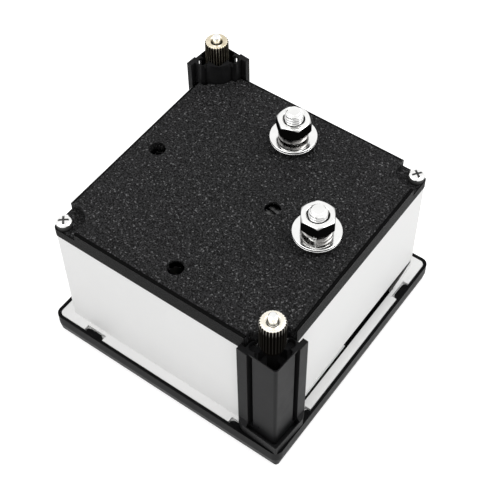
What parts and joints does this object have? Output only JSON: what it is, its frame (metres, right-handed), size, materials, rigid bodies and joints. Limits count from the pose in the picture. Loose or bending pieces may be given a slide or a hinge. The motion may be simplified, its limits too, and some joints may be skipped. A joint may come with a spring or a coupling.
{
  "type": "analog panel meter",
  "caption": "Square moving-coil panel meter lying on its face, with clip-on bezel, white case, black rear cap, two terminal studs and two corner clamp brackets with thumb nuts.",
  "frame": {"origin": "centre of the bezel's front face, which the meter lies on", "axes": "+Z to the meter's rear, out of its terminals; -Y towards the top of the scale; the movement turns about Z near the corner at +X +Y"},
  "size_m": [0.072, 0.0722, 0.0572],
  "materials": {
    "black_frame": "satin",
    "white_housing": "satin",
    "black_cap": "matte",
    "black_clamp": "satin",
    "dark_resin": "matte",
    "nickel": "polished",
    "spring_steel": "satin",
    "dark_steel": "satin",
    "brass": "polished",
    "bronze": "satin",
    "copper": "satin",
    "pane": "clear",
    "white_paint": "matte",
    "black_paint": "matte",
    "aluminium": "satin",
    "magnet": "ground",
    "soft_iron": "plated",
    "cast_holder": "cast"
  },
  "bodies": {
    "housing": {"bezel": "black_frame", "window": "pane", "corner_shield": "black_frame", "case": "white_housing", "back_cover": "black_cap", "cover_screws": "nickel", "terminal_studs": "nickel", "terminal_washers": "nickel", "spring_washers": "spring_steel", "terminal_nuts": "nickel", "terminal_lugs": "brass", "trimmer_body": "dark_resin", "clamp_studs": "nickel", "dial_plate": "white_paint", "dial_screws": "nickel", "magnet_core": "magnet", "yoke_ring": "soft_iron", "core_holder": "cast_holder", "movement_screws": "nickel", "front_bridge": "aluminium", "rear_bridge": "aluminium", "jewel_screws": "brass", "hairspring_front": "bronze", "hairspring_rear": "bronze"},
    "moving_coil": {"coil_former": "aluminium", "coil_winding": "copper", "pointer": "black_paint"},
    "adjuster": {"zero_adjuster": "black_frame"},
    "lever": {"zero_lever": "bronze"},
    "rear_adjuster": {"trimmer_screw": "dark_steel"},
    "near_clamp": {"clamp_near": "black_clamp"},
    "far_clamp": {"clamp_far": "black_clamp"},
    "near_thumb_nut": {"thumb_nut_near": "brass"},
    "far_thumb_nut": {"thumb_nut_far": "brass"}
  },
  "joints": [
    {"name": "pointer_swing", "type": "hinge", "parent": "housing", "child": "moving_coil", "pos_m": [0.018, 0.018, 0.02], "axis": [0, 0, 1], "range_deg": [-3, 93], "stiffness_Nm_per_rad": 0.00001},
    {"name": "adjuster_turn", "type": "hinge", "parent": "housing", "child": "adjuster", "pos_m": [0.0244, 0.0244, 0.002], "axis": [0, 0, 1], "range_deg": [-45, 45]},
    {"name": "lever_turn", "type": "hinge", "parent": "housing", "child": "lever", "pos_m": [0.018, 0.018, 0.0045], "axis": [0, 0, 1], "range_deg": [-6, 6]},
    {"name": "rear_adjuster_turn", "type": "hinge", "parent": "housing", "child": "rear_adjuster", "pos_m": [0.0082, 0.0009, 0.043], "axis": [0, 0, 1], "range_deg": [-135, 135]},
    {"name": "near_clamp_slide", "type": "slide", "parent": "housing", "child": "near_clamp", "axis": [0, 0, 1], "range_m": [0, 0.008]},
    {"name": "far_clamp_slide", "type": "slide", "parent": "housing", "child": "far_clamp", "axis": [0, 0, 1], "range_m": [-0.0089, 0]},
    {"name": "near_nut_turn", "type": "hinge", "parent": "housing", "child": "near_thumb_nut", "pos_m": [0.03045, -0.03075, 0.05], "axis": [0, 0, 1], "continuous": true},
    {"name": "far_nut_turn", "type": "hinge", "parent": "housing", "child": "far_thumb_nut", "pos_m": [-0.03045, 0.03075, 0.05], "axis": [0, 0, 1], "continuous": true}
  ],
  "couplings": [
    {"joint": "lever_turn", "follows": "adjuster_turn", "ratio": 0.112}
  ]
}
